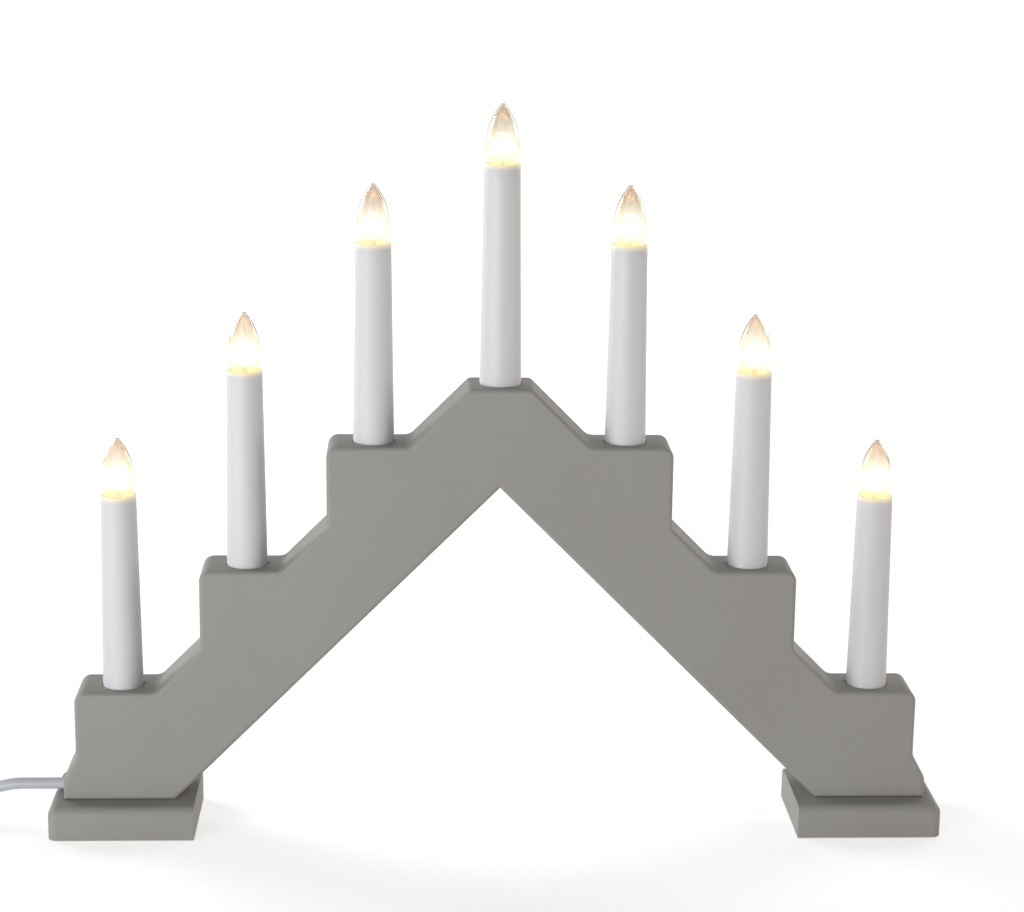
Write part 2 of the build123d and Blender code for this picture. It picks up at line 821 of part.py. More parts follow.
node_turns = [0]
for knot, (begin, finish) in enumerate(zip(turn_knots, turn_knots[1:])):
    begin += climb_turns if knot else 0
    turning_back = knot < len(coil_reversal_turns)
    finish -= climb_turns if turning_back else 0
    while begin < finish - climb_turns:
        if begin > node_turns[-1]:
            node_turns.append(begin)
        begin += 2 * climb_turns
    node_turns.append(finish)
    if turning_back:
        node_turns.append(turn_knots[knot + 1])
coil_nodes = [coil_node(turns) for turns in node_turns]
coil_arcs = []
with BuildPart() as cord_coil:
    with BuildLine() as turns_line:
        for (here, going), (there, coming) in zip(coil_nodes, coil_nodes[1:]):
            span = there - here
            bend = 1 - going.dot(coming)
            both = span.dot(going + coming)
            reach = (math.sqrt(both**2 + 2 * bend * span.dot(span)) - both) / (2 * bend)
            first = here + going * reach
            second = there - coming * reach
            joint = (first + second) / 2
            coil_arcs.append(TangentArc(here, joint, tangent=going))
            coil_arcs.append(TangentArc(joint, there, tangent=second - first))
    with BuildSketch(Plane(origin=coil_nodes[0][0], z_dir=coil_nodes[0][1])):
        Circle(cord_radius)
    sweep()
cord_coil.part.label = "cord_coil"
export_step(cord_coil.part, "parts/cord_coil.step")

# Free stretches of the lead: straight runs joined by wide arcs.
coil_start, coil_heading = coil_nodes[0]
coil_finish, coil_leaving = coil_nodes[-1]
lead_points = [
    Vector(cord_start, 0, cord_height),
    Vector(cord_start - lead_level_length, 0, cord_height),
    coil_start - coil_heading * lead_entry_length,
    coil_start,
]
plug_height = plug_thickness / 2
tail_drop = coil_finish.Z - plug_height
tail_points = [coil_finish, coil_finish + coil_leaving * tail_first_run]
tail_points.append(tail_points[-1] + Vector(-tail_drop_run, -tail_side_step, -tail_drop * tail_drop_share))
tail_points.append(Vector(tail_points[-1].X - tail_level_run, tail_points[-1].Y - tail_level_step, plug_height))
tail_points.append(tail_points[-1] - Vector(tail_last_run, 0, 0))


def make_stretch(points, name):
    radii = []
    for before, corner, after in zip(points, points[1:], points[2:]):
        turn = math.radians((corner - before).get_angle(after - corner))
        shorter = min((corner - before).length, (after - corner).length)
        radii.append(run_share * shorter / math.tan(turn / 2))
    with BuildPart() as stretch:
        with BuildLine() as route:
            FilletPolyline(*points, radius=radii)
        with BuildSketch(Plane(origin=route.line @ 0, z_dir=route.line % 0)):
            Circle(cord_radius)
        sweep()
    stretch.part.label = name
    export_step(stretch.part, f"parts/{name}.step")
    length = sum(edge.length for edge in route.edges())
    print(name, "length", length, "bend radii", radii)
    print(name, "volume", stretch.part.volume, "section times length", math.pi * cord_radius**2 * length)
    return length


lead_length = make_stretch(lead_points, "cord_lead")
tail_length = make_stretch(tail_points, "cord_tail")
coil_length = sum(arc.length for arc in coil_arcs)
print("whole lead", lead_length + coil_length + tail_length, "of it coiled", coil_length)
print("coil volume", cord_coil.part.volume, "section times length", math.pi * cord_radius**2 * coil_length)

# Least gap between turns of the coil, measured on points along its line.
samples_per_arc = 16
neighbours = 2 * samples_per_arc
walk = [arc @ (k / samples_per_arc) for arc in coil_arcs for k in range(samples_per_arc)]
near = min((a - b).length for k, a in enumerate(walk) for b in walk[k + neighbours :])
print("least gap in the coil", near - cord_diameter, "tightest turn", min(arc.radius for arc in coil_arcs))

# Strap round the turns of the coil, on the side away from the arch.
tie_inner = coil_inner_radius - cord_radius - 2 * tie_clearance
tie_outer = reversal_radii[0] + cord_radius
tie_top = coil_rest + coil_pitch * len(coil_reversal_turns) + cord_radius + tie_clearance
tie_middle = coil_middle - (tie_inner + tie_outer) / 2
tie_span = tie_outer - tie_inner
tie_rise = tie_top - tie_thickness
with BuildPart() as coil_tie:
    with BuildSketch(upright(tie_middle, 0, (tie_top + tie_thickness) / 2)):
        RectangleRounded(tie_span + 2 * tie_thickness, tie_rise + 2 * tie_thickness, tie_round)
        RectangleRounded(tie_span, tie_rise, tie_round - tie_thickness, mode=Mode.SUBTRACT)
    extrude(amount=tie_width / 2, both=True)
    with BuildSketch(Plane.XY.offset(tie_top + tie_thickness / 2)):
        with Locations((tie_middle, 0)):
            Rectangle(tie_head_length, tie_width)
    extrude(amount=tie_head_height)
coil_tie.part.label = "coil_tie"
export_step(coil_tie.part, "parts/coil_tie.step")

# Plug: flat moulded body with a flared relief on the lead.
lead_end = tail_points[-1]
plug_back = lead_end.X - relief_length
plug_face = plug_back - plug_length
pin_places = [(lead_end.Y - pin_spacing / 2, plug_height), (lead_end.Y + pin_spacing / 2, plug_height)]
with BuildPart() as plug_body:
    with BuildSketch():
        Polygon(
            (plug_back, lead_end.Y - plug_tail_width / 2),
            (plug_back, lead_end.Y + plug_tail_width / 2),
            (plug_back - plug_shoulder, lead_end.Y + plug_width / 2),
            (plug_face, lead_end.Y + plug_width / 2),
            (plug_face, lead_end.Y - plug_width / 2),
            (plug_back - plug_shoulder, lead_end.Y - plug_width / 2),
            align=None,
        )
    extrude(amount=plug_thickness)
    fillet(plug_body.edges().filter_by(Axis.Z), radius=plug_round)
    fillet(plug_body.faces().filter_by(Axis.Z).edges(), radius=plug_round)
    with BuildSketch(upright(0, lead_end.Y, plug_height)):
        Polygon(
            (lead_end.X, 0),
            (lead_end.X, relief_end_diameter / 2),
            (plug_back, relief_diameter / 2),
            (plug_back - plug_round, relief_diameter / 2),
            (plug_back - plug_round, 0),
            align=None,
        )
    revolve(axis=Axis((0, lead_end.Y, plug_height), (1, 0, 0)))
    with BuildSketch(Plane.YZ.offset(plug_face + pin_root + pin_clearance)):
        with Locations(*pin_places):
            Circle(pin_sheath_diameter / 2 + pin_clearance)
    extrude(amount=-pin_root - overrun, mode=Mode.SUBTRACT)
plug_body.part.label = "plug_body"
export_step(plug_body.part, "parts/plug_body.step")

# Pins of the plug: slimmer where they are sheathed, full diameter at the bare tips.
with BuildPart() as plug_pins:
    with BuildSketch(Plane.YZ.offset(plug_face + pin_root)):
        with Locations(*pin_places):
            Circle(pin_sheath_diameter / 2)
    extrude(amount=-pin_root - pin_sheath_length)
    with BuildSketch(Plane.YZ.offset(plug_face - pin_sheath_length)):
        with Locations(*pin_places):
            Circle(pin_diameter / 2)
    extrude(amount=pin_sheath_length - pin_length)
    chamfer(plug_pins.edges().filter_by(GeomType.CIRCLE).group_by(Axis.X)[0], length=pin_chamfer)
plug_pins.part.label = "plug_pins"
export_step(plug_pins.part, "parts/plug_pins.step")
print("lead points", lead_points)
print("coil from", coil_start, "to", coil_finish, "round", coil_middle)
print("tail points", tail_points)
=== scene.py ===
import math

import bpy
from mathutils import Matrix, Vector


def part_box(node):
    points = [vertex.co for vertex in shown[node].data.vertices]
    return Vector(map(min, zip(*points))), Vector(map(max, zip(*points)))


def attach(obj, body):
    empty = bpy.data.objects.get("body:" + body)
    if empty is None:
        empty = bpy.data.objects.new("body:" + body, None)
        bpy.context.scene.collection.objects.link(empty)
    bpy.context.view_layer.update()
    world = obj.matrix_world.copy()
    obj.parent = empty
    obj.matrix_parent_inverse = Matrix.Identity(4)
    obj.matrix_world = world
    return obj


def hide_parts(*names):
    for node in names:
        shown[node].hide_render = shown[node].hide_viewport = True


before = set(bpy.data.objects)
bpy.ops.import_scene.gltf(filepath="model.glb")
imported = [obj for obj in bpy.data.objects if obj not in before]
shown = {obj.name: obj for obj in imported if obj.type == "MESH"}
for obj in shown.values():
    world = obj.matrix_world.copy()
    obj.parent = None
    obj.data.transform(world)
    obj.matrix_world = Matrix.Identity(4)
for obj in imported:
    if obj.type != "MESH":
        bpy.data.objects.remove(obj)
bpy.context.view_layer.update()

# Sweep under the arch: a plain matt white board. The lens sees it lifted to white,
# mirrors and glass see it a little dimmer; it keeps the soft shadows of the feet.
sill_size = 40.0
sill_drop = 0.0002
sill_tone = 0.88
lift_near, lift_far = 0.3, 1.5
lift_at_near, lift_at_far = 0.56, 0.88
mirrored_share = 0.7
bpy.ops.object.select_all(action="DESELECT")
bpy.ops.mesh.primitive_plane_add(size=sill_size, location=(0, 0, -sill_drop))
sill = bpy.context.object
sill.name = "sill"
bpy.ops.object.transform_apply(location=True, rotation=True, scale=True)
sill_white = bpy.data.materials.new("sill_white")
sill_white.use_nodes = True
tree = sill_white.node_tree
tree.nodes.clear()
sill_out = tree.nodes.new("ShaderNodeOutputMaterial")
sill_matt = tree.nodes.new("ShaderNodeBsdfDiffuse")
sill_matt.inputs["Color"].default_value = (sill_tone, sill_tone, sill_tone, 1)
sill_lift = tree.nodes.new("ShaderNodeEmission")
sill_add = tree.nodes.new("ShaderNodeAddShader")
tree.links.new(sill_matt.outputs[0], sill_add.inputs[0])
tree.links.new(sill_lift.outputs[0], sill_add.inputs[1])
tree.links.new(sill_add.outputs[0], sill_out.inputs["Surface"])


def seen_or_lit(tree, lit, socket):
    """Strength one for the lens, a share of it in mirrors and glass, and lit for light on the object."""
    ray = tree.nodes.new("ShaderNodeLightPath")
    mirrored = tree.nodes.new("ShaderNodeMath")
    mirrored.operation = "MAXIMUM"
    tree.links.new(ray.outputs["Is Glossy Ray"], mirrored.inputs[0])
    tree.links.new(ray.outputs["Is Transmission Ray"], mirrored.inputs[1])
    dimmed = tree.nodes.new("ShaderNodeMath")
    dimmed.operation = "MULTIPLY"
    dimmed.inputs[1].default_value = mirrored_share
    tree.links.new(mirrored.outputs[0], dimmed.inputs[0])
    either = tree.nodes.new("ShaderNodeMath")
    either.operation = "MAXIMUM"
    tree.links.new(ray.outputs["Is Camera Ray"], either.inputs[0])
    tree.links.new(dimmed.outputs[0], either.inputs[1])
    strength = tree.nodes.new("ShaderNodeMapRange")
    strength.inputs["To Min"].default_value = lit
    tree.links.new(either.outputs[0], strength.inputs["Value"])
    tree.links.new(strength.outputs["Result"], socket)
    return strength


sill_seen = seen_or_lit(tree, 0.0, sill_lift.inputs["Strength"])
sill_place = tree.nodes.new("ShaderNodeTexCoord")
sill_reach = tree.nodes.new("ShaderNodeVectorMath")
sill_reach.operation = "LENGTH"
sill_fade = tree.nodes.new("ShaderNodeMapRange")
sill_fade.inputs["From Min"].default_value = lift_near
sill_fade.inputs["From Max"].default_value = lift_far
sill_fade.inputs["To Min"].default_value = lift_at_near
sill_fade.inputs["To Max"].default_value = lift_at_far
tree.links.new(sill_place.outputs["Object"], sill_reach.inputs[0])
tree.links.new(sill_reach.outputs["Value"], sill_fade.inputs["Value"])
tree.links.new(sill_fade.outputs["Result"], sill_seen.inputs["To Max"])
sill_white.cycles.emission_sampling = "NONE"
sill.data.materials.append(sill_white)

# Camera: a long lens a metre in front of the arch, a little left of the middle
# and looking down on it, as the photograph was taken.
cam_place = Vector((-0.03686, -1.01405, 0.41300))
cam_yaw, cam_pitch, cam_roll = 0.0417, 0.2379, -0.0121
focal_pixels, photo_width = 2414.8, 1024.0
level = Vector((math.cos(cam_yaw), -math.sin(cam_yaw), 0))
ahead = Vector((math.sin(cam_yaw), math.cos(cam_yaw), 0))
up = Vector((0, 0, 1))
sight = ahead * math.cos(cam_pitch) - up * math.sin(cam_pitch)
down = -(up * math.cos(cam_pitch) + ahead * math.sin(cam_pitch))
cam_right = level * math.cos(cam_roll) + down * math.sin(cam_roll)
cam_down = down * math.cos(cam_roll) - level * math.sin(cam_roll)
bpy.ops.object.camera_add()
camera = bpy.context.object
camera.data.sensor_width = 36.0
camera.data.lens = camera.data.sensor_width * focal_pixels / photo_width
camera.data.clip_start = 0.05
camera.data.clip_end = 60.0
camera.matrix_world = Matrix((
    (cam_right.x, -cam_down.x, -sight.x, cam_place.x),
    (cam_right.y, -cam_down.y, -sight.y, cam_place.y),
    (cam_right.z, -cam_down.z, -sight.z, cam_place.z),
    (0, 0, 0, 1),
))
bpy.context.scene.camera = camera

# Studio light: a dim even room, a soft key low at the front left, a soft box behind
# each end and one above, and a warm card at the right.
world = bpy.data.worlds.new("studio")
bpy.context.scene.world = world
world.use_nodes = True
room_light = 0.19
backdrop = world.node_tree.nodes["Background"]
backdrop.inputs["Color"].default_value = (1.0, 1.0, 1.0, 1)
seen_or_lit(world.node_tree, room_light, backdrop.inputs["Strength"])


def soft_light(name, size, power, place, target, colour):
    """A lamp with a rectangle of light, width and height in metres, turned to a target."""
    bpy.ops.object.light_add(type="AREA", location=place)
    light = bpy.context.object
    light.name = name
    light.data.shape = "RECTANGLE"
    light.data.size = size[0]
    light.data.size_y = size[1]
    light.data.energy = power
    light.data.color = colour
    light.rotation_euler = (Vector(target) - Vector(place)).to_track_quat("-Z", "Y").to_euler()


soft_light("key_light", (1.4, 0.26), 16.2, (-0.95, -1.15, 0.16), (0, 0, 0.15), (1.0, 0.99, 0.98))
soft_light("left_box", (0.9, 0.9), 14.5, (-1.5, 1.1, 0.72), (0, 0, 0.15), (1.0, 1.0, 1.0))
soft_light("right_box", (0.9, 0.9), 8.4, (1.5, 1.1, 0.72), (0, 0, 0.15), (1.0, 0.95, 0.92))
soft_light("right_card", (0.7, 0.26), 4.2, (1.30, -0.36, 0.16), (0, 0, 0.10), (1.0, 0.86, 0.77))
soft_light("top_box", (0.8, 0.5), 1.6, (0, 0.6, 1.0), (0, 0, 0.2), (1.0, 1.0, 1.0))
bpy.context.scene.view_settings.view_transform = "Standard"

# Mains lead: round two-core flex with a smooth white sheath. It leaves the left
# end of the frame over the foot, lies down on the sill and is put away in a coil.
lead_radius = 0.0025
coil_middle_x = -0.286
coil_rest = 0.0034
coil_pitch = 0.0055
coil_inner = 0.020
coil_turn_back = (2.25, 4.75, 7.25)
coil_last_turn = 9.125
coil_start = 45
climb_turns = 0.5
points_a_turn = 16
arc_gain = 1.0 / (0.75 + 0.25 * math.cos(math.tau / points_a_turn))


def coil_point(turns):
    """A place on the coil, wound out and in by turns, one layer on another."""
    radius = coil_inner + coil_pitch * abs(turns - coil_turn_back[0])
    if turns > (coil_turn_back[0] + coil_turn_back[1]) / 2:
        outer = coil_inner + coil_pitch * (coil_turn_back[1] - coil_turn_back[0])
        radius = outer - coil_pitch * abs(turns - coil_turn_back[1])
    if turns > (coil_turn_back[1] + coil_turn_back[2]) / 2:
        radius = coil_inner + coil_pitch * abs(turns - coil_turn_back[2])
    rise = 0.0
    for place in coil_turn_back:
        part = min(max((turns - place) / climb_turns + 0.5, 0.0), 1.0)
        rise += part * part * (3 - 2 * part)
    angle = math.radians(coil_start) + math.tau * turns
    reach = radius * arc_gain
    return (
        coil_middle_x + reach * math.cos(angle),
        reach * math.sin(angle),
        coil_rest + coil_pitch * rise,
    )


from_clamp = [
    (-0.1740, 0.0, 0.0171),
    (-0.2010, 0.0, 0.0171),
    (-0.2190, 0.0, 0.0171),
    (-0.2461, 0.0059, 0.0034),
]
coil_steps = int(coil_last_turn * points_a_turn)
round_coil = [coil_point(k / points_a_turn) for k in range(1, coil_steps + 1)]
to_plug = [
    (-0.3090, 0.0303, 0.0199),
    (-0.3300, 0.0223, 0.0106),
    (-0.3480, 0.0153, 0.0070),
    (-0.3620, 0.0153, 0.0070),
]
lead_line = from_clamp + round_coil + to_plug
lead_curve = bpy.data.curves.new("mains_lead", "CURVE")
lead_curve.dimensions = "3D"
lead_curve.bevel_depth = lead_radius
lead_curve.bevel_resolution = 6
lead_curve.resolution_u = 6
lead_curve.use_fill_caps = True
spline = lead_curve.splines.new("NURBS")
spline.points.add(len(lead_line) - 1)
for point, place in zip(spline.points, lead_line):
    point.co = (*place, 1.0)
spline.order_u = 3
spline.use_endpoint_u = True
mains_lead = bpy.data.objects.new("mains_lead", lead_curve)
bpy.context.collection.objects.link(mains_lead)


def new_finish(name, roughness, metal=0.0):
    """A new material, with its node tree and its shader."""
    finish = bpy.data.materials.new(name)
    finish.use_nodes = True
    shader = finish.node_tree.nodes["Principled BSDF"]
    shader.inputs["Roughness"].default_value = roughness
    shader.inputs["Metallic"].default_value = metal
    return finish, finish.node_tree, shader


def speckle(tree, scale, detail, stretch=(1, 1, 1)):
    """A cloudy pattern fixed to the piece."""
    place = tree.nodes.new("ShaderNodeTexCoord")
    mapping = tree.nodes.new("ShaderNodeMapping")
    mapping.inputs["Scale"].default_value = stretch
    noise = tree.nodes.new("ShaderNodeTexNoise")
    noise.inputs["Scale"].default_value = scale
    noise.inputs["Detail"].default_value = detail
    tree.links.new(place.outputs["Object"], mapping.inputs["Vector"])
    tree.links.new(mapping.outputs["Vector"], noise.inputs["Vector"])
    return noise.outputs["Fac"]


def tint(tree, source, stops, socket):
    """Colours along a value, given as stops of place and colour."""
    ramp = tree.nodes.new("ShaderNodeValToRGB")
    steps = ramp.color_ramp.elements
    steps[0].position, steps[1].position = stops[0][0], stops[-1][0]
    steps[0].color, steps[1].color = (*stops[0][1], 1), (*stops[-1][1], 1)
    for place, colour in stops[1:-1]:
        steps.new(place).color = (*colour, 1)
    tree.links.new(source, ramp.inputs["Fac"])
    tree.links.new(ramp.outputs["Color"], socket)


def mottle(tree, shader, pattern, dark, light):
    """A base colour that wanders with a cloudy pattern from dark to light."""
    tint(tree, pattern, [(0.3, dark), (0.7, light)], shader.inputs["Base Color"])


def span(tree, source, given, wanted, socket):
    """Maps one range of a value to another."""
    spread = tree.nodes.new("ShaderNodeMapRange")
    spread.inputs["From Min"].default_value = given[0]
    spread.inputs["From Max"].default_value = given[1]
    spread.inputs["To Min"].default_value = wanted[0]
    spread.inputs["To Max"].default_value = wanted[1]
    tree.links.new(source, spread.inputs["Value"])
    tree.links.new(spread.outputs["Result"], socket)


def relief(tree, source, strength, distance, shader):
    """Fine unevenness of the surface, no deeper than distance."""
    bump = tree.nodes.new("ShaderNodeBump")
    bump.inputs["Strength"].default_value = strength
    bump.inputs["Distance"].default_value = distance
    tree.links.new(source, bump.inputs["Height"])
    tree.links.new(bump.outputs["Normal"], shader.inputs["Normal"])


def dress(finish, *names):
    """Gives nodes that show as they are a material."""
    for name in names:
        shown[name].data.materials.clear()
        shown[name].data.materials.append(finish)


lead_white, tree, shader = new_finish("lead_white", 0.42)
lead_soil = speckle(tree, 38.0, 3.0)
mottle(tree, shader, lead_soil, (0.45, 0.47, 0.51), (0.53, 0.55, 0.59))
span(tree, lead_soil, (0.3, 0.7), (0.36, 0.48), shader.inputs["Roughness"])
relief(tree, speckle(tree, 900.0, 2.0), 0.15, 0.00004, shader)
lead_curve.materials.append(lead_white)
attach(mains_lead, "stand")
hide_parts("cord_lead", "cord_coil", "cord_tail")

# Arms of the arch: two stepped boards cut from solid wood, doweled together at
# the apex, edges eased. Arms, strips and feet share one matt greige coat, sprayed
# thin enough for the grain under it to be felt.
def greige_coat(name, lean):
    """Paint over wood whose grain leans by so many degrees."""
    coat, tree, shader = new_finish(name, 0.56)
    tint(
        tree,
        speckle(tree, 11.0, 4.0),
        [(0.25, (0.298, 0.293, 0.275)), (0.5, (0.312, 0.307, 0.289)), (0.75, (0.328, 0.324, 0.307))],
        shader.inputs["Base Color"],
    )
    span(tree, speckle(tree, 60.0, 3.0), (0.3, 0.7), (0.50, 0.64), shader.inputs["Roughness"])
    grain_place = tree.nodes.new("ShaderNodeTexCoord")
    grain_run = tree.nodes.new("ShaderNodeMapping")
    grain_run.vector_type = "TEXTURE"
    grain_run.inputs["Rotation"].default_value = (0, math.radians(lean), 0)
    grain_run.inputs["Scale"].default_value = (22, 1, 1)
    grain = tree.nodes.new("ShaderNodeTexNoise")
    grain.inputs["Scale"].default_value = 520.0
    grain.inputs["Detail"].default_value = 3.0
    tree.links.new(grain_place.outputs["Object"], grain_run.inputs["Vector"])
    tree.links.new(grain_run.outputs["Vector"], grain.inputs["Vector"])
    skin = tree.nodes.new("ShaderNodeMath")
    skin.operation = "ADD"
    tree.links.new(grain.outputs["Fac"], skin.inputs[0])
    tree.links.new(speckle(tree, 850.0, 3.0), skin.inputs[1])
    relief(tree, skin.outputs[0], 0.30, 0.00007, shader)
    shader.inputs["Specular IOR Level"].default_value = 0.28
    return coat


coats = {
    "left_arm": greige_coat("left_arm_paint", -45),
    "right_arm": greige_coat("right_arm_paint", 45),
    "left_foot": greige_coat("foot_paint", 0),
}
coats["left_groove_cover"] = coats["left_arm"]
coats["right_groove_cover"] = coats["right_arm"]
coats["right_foot"] = coats["left_foot"]
for name, coat in coats.items():
    dress(coat, name)

# Dowels in the apex joint: two turned beech pins that cross the seam between the
# arms, glued in blind holes and out of sight.
beech_wood, tree, shader = new_finish("beech_wood", 0.62)
beech_grain = speckle(tree, 120.0, 5.0, (0.08, 1, 1))
mottle(tree, shader, beech_grain, (0.42, 0.27, 0.15), (0.60, 0.42, 0.25))
relief(tree, beech_grain, 0.2, 0.0001, shader)
dress(beech_wood, "apex_dowels")

# Screws: zinc-plated countersunk wood screws, up through the feet into the arms,
# and two small ones that hold the cord clamp down.
zinc_plate, tree, shader = new_finish("zinc_plate", 0.34, 1.0)
zinc_spangle = speckle(tree, 420.0, 4.0)
mottle(tree, shader, zinc_spangle, (0.48, 0.49, 0.50), (0.64, 0.65, 0.66))
span(tree, zinc_spangle, (0.3, 0.7), (0.26, 0.44), shader.inputs["Roughness"])
dress(zinc_plate, "foot_screws", "clamp_screws")

# Candle sleeves: seven tapered tubes of satin white plastic, pushed into bored
# sockets in the treads. At the open rim they carry a painted glow, and inside a
# painted lit colour, both standing in for the lamp's light through the thin wall.
mm = 0.001
weld = 0.000002
sleeve_wall = 1.0
rim_round = 0.35
rim_places = []
for number in range(1, 8):
    low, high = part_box(f"candle_sleeve_{number}")
    rim_places.append(Vector(((low.x + high.x) / 2, (low.y + high.y) / 2, high.z)))


def drawn_line(name, line):
    """A new piece in edit mode: one point drawn along reaches and heights in millimetres."""
    bpy.ops.object.select_all(action="DESELECT")
    bpy.ops.mesh.primitive_plane_add(size=0.01)
    piece = bpy.context.object
    piece.name = piece.data.name = name
    bpy.ops.object.mode_set(mode="EDIT")
    bpy.ops.mesh.select_all(action="SELECT")
    bpy.ops.mesh.merge(type="CENTER")
    here = Vector((line[0][0], 0, line[0][1])) * mm
    bpy.ops.transform.translate(value=here)
    for reach, height in line[1:]:
        there = Vector((reach, 0, height)) * mm
        bpy.ops.mesh.extrude_region_move(TRANSFORM_OT_translate={"value": there - here})
        here = there
    bpy.ops.mesh.select_all(action="SELECT")
    return piece


def turned(name, line, steps):
    """A piece turned round the z axis: its half section is drawn, then spun."""
    piece = drawn_line(name, line)
    bpy.ops.mesh.spin(steps=steps, angle=math.tau, center=(0, 0, 0), axis=(0, 0, 1))
    bpy.ops.mesh.select_all(action="SELECT")
    bpy.ops.mesh.remove_doubles(threshold=weld)
    bpy.ops.mesh.normals_make_consistent(inside=False)
    bpy.ops.object.mode_set(mode="OBJECT")
    bpy.ops.object.shade_smooth_by_angle(angle=math.radians(40))
    return piece


def height_marks(piece):
    """Each point's height over the candle's rim, in millimetres, for the materials."""
    marks = piece.data.attributes.new("above_rim", "FLOAT", "POINT")
    marks.data.foreach_set("value", [v.co.z / mm for v in piece.data.vertices])


def on_every_candle(pattern, name):
    """Seven copies of a piece made at the rim, each with a mesh of its own."""
    made = []
    for number, place in enumerate(rim_places, 1):
        piece = pattern.copy()
        piece.data = pattern.data.copy()
        piece.name = piece.data.name = f"{name}_{number}"
        piece.data.transform(Matrix.Translation(place))
        bpy.context.collection.objects.link(piece)
        made.append(piece)
    bpy.data.objects.remove(pattern)
    return made


low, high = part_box("candle_sleeve_1")
sleeve_foot = (high.x - low.x) / 2 / mm
sleeve_length = (high.z - low.z) / mm
sleeve_rim = 7.65
collar_depth, collar_swell = 8.0, 0.1
round_45 = rim_round * (1 - math.sqrt(0.5))
sleeve_pattern = turned(
    "sleeve",
    [
        (sleeve_foot - sleeve_wall, -sleeve_length),
        (sleeve_foot, -sleeve_length),
        (sleeve_rim + collar_swell, -collar_depth),
        (sleeve_rim, -rim_round),
        (sleeve_rim - round_45, -round_45),
        (sleeve_rim - rim_round, 0),
        (sleeve_rim - sleeve_wall + rim_round, 0),
        (sleeve_rim - sleeve_wall + round_45, -round_45),
        (sleeve_rim - sleeve_wall, -rim_round),
        (sleeve_rim - sleeve_wall + collar_swell, -collar_depth),
        (sleeve_foot - sleeve_wall, -sleeve_length),
    ],
    steps=96,
)
height_marks(sleeve_pattern)
sleeve_white, tree, shader = new_finish("sleeve_white", 0.50)
sleeve_flow = speckle(tree, 45.0, 3.0, (1, 1, 0.12))
mottle(tree, shader, sleeve_flow, (0.640, 0.652, 0.672), (0.685, 0.695, 0.712))
span(tree, sleeve_flow, (0.3, 0.7), (0.44, 0.56), shader.inputs["Roughness"])
relief(tree, speckle(tree, 500.0, 2.0, (1, 1, 0.3)), 0.1, 0.00004, shader)
# Painted glow: a warm emission that grows over the top 3 mm below the rim stands in for the lamp's light
# through the thin wall.
rim_height = tree.nodes.new("ShaderNodeAttribute")
rim_height.attribute_name = "above_rim"
rim_share = tree.nodes.new("ShaderNodeMapRange")
rim_share.inputs["From Min"].default_value = -3.0
rim_share.inputs["From Max"].default_value = 0.0
rim_painted_glow = tree.nodes.new("ShaderNodeMath")
rim_painted_glow.operation = "POWER"
rim_painted_glow.inputs[1].default_value = 1.6
tree.links.new(rim_height.outputs["Fac"], rim_share.inputs["Value"])
tree.links.new(rim_share.outputs["Result"], rim_painted_glow.inputs[0])
span(tree, rim_painted_glow.outputs[0], (0, 1), (0, 0.46), shader.inputs["Emission Strength"])
shader.inputs["Emission Color"].default_value = (1.0, 0.72, 0.14, 1)
# Painted light: the inside faces get a warmer colour and a glow that grows towards the rim, standing in
# for the lamp's light inside the sleeve.
sleeve_inside_painted_lit, tree, shader = new_finish("sleeve_inside_painted_lit", 0.42)
mottle(tree, shader, speckle(tree, 90.0, 3.0), (0.60, 0.58, 0.52), (0.66, 0.64, 0.58))
painted_lit_depth = tree.nodes.new("ShaderNodeAttribute")
painted_lit_depth.attribute_name = "above_rim"
span(tree, painted_lit_depth.outputs["Fac"], (-14.0, -1.0), (0, 0.60), shader.inputs["Emission Strength"])
shader.inputs["Emission Color"].default_value = (1.0, 0.86, 0.56, 1)
sleeve_pattern.data.materials.append(sleeve_white)
sleeve_pattern.data.materials.append(sleeve_inside_painted_lit)
# Inside faces take the painted lit material, all other faces the plain white.
for face in sleeve_pattern.data.polygons:
    inside = face.normal.x * face.center.x + face.normal.y * face.center.y < 0
    face.material_index = 1 if inside and face.normal.z < 0.9 else 0
for number, sleeve in enumerate(on_every_candle(sleeve_pattern, "sleeve"), 1):
    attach(sleeve, "stand")
    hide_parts(f"candle_sleeve_{number}")

# Lampholders: moulded cups of cream heat-proof plastic wedged below each rim,
# with a brass threaded shell and a riveted brass contact in the floor.
holder_cream, tree, shader = new_finish("holder_cream", 0.46)
holder_flow = speckle(tree, 160.0, 3.0)
mottle(tree, shader, holder_flow, (0.70, 0.65, 0.52), (0.78, 0.73, 0.60))
relief(tree, speckle(tree, 700.0, 2.0), 0.15, 0.00005, shader)
dress(holder_cream, "lampholders")
thread_brass, tree, shader = new_finish("thread_brass", 0.28, 1.0)
brass_tarnish = speckle(tree, 260.0, 4.0)
mottle(tree, shader, brass_tarnish, (0.62, 0.42, 0.17), (0.82, 0.61, 0.28))
span(tree, brass_tarnish, (0.3, 0.7), (0.22, 0.40), shader.inputs["Roughness"])
dress(thread_brass, "socket_shells", "centre_contacts")

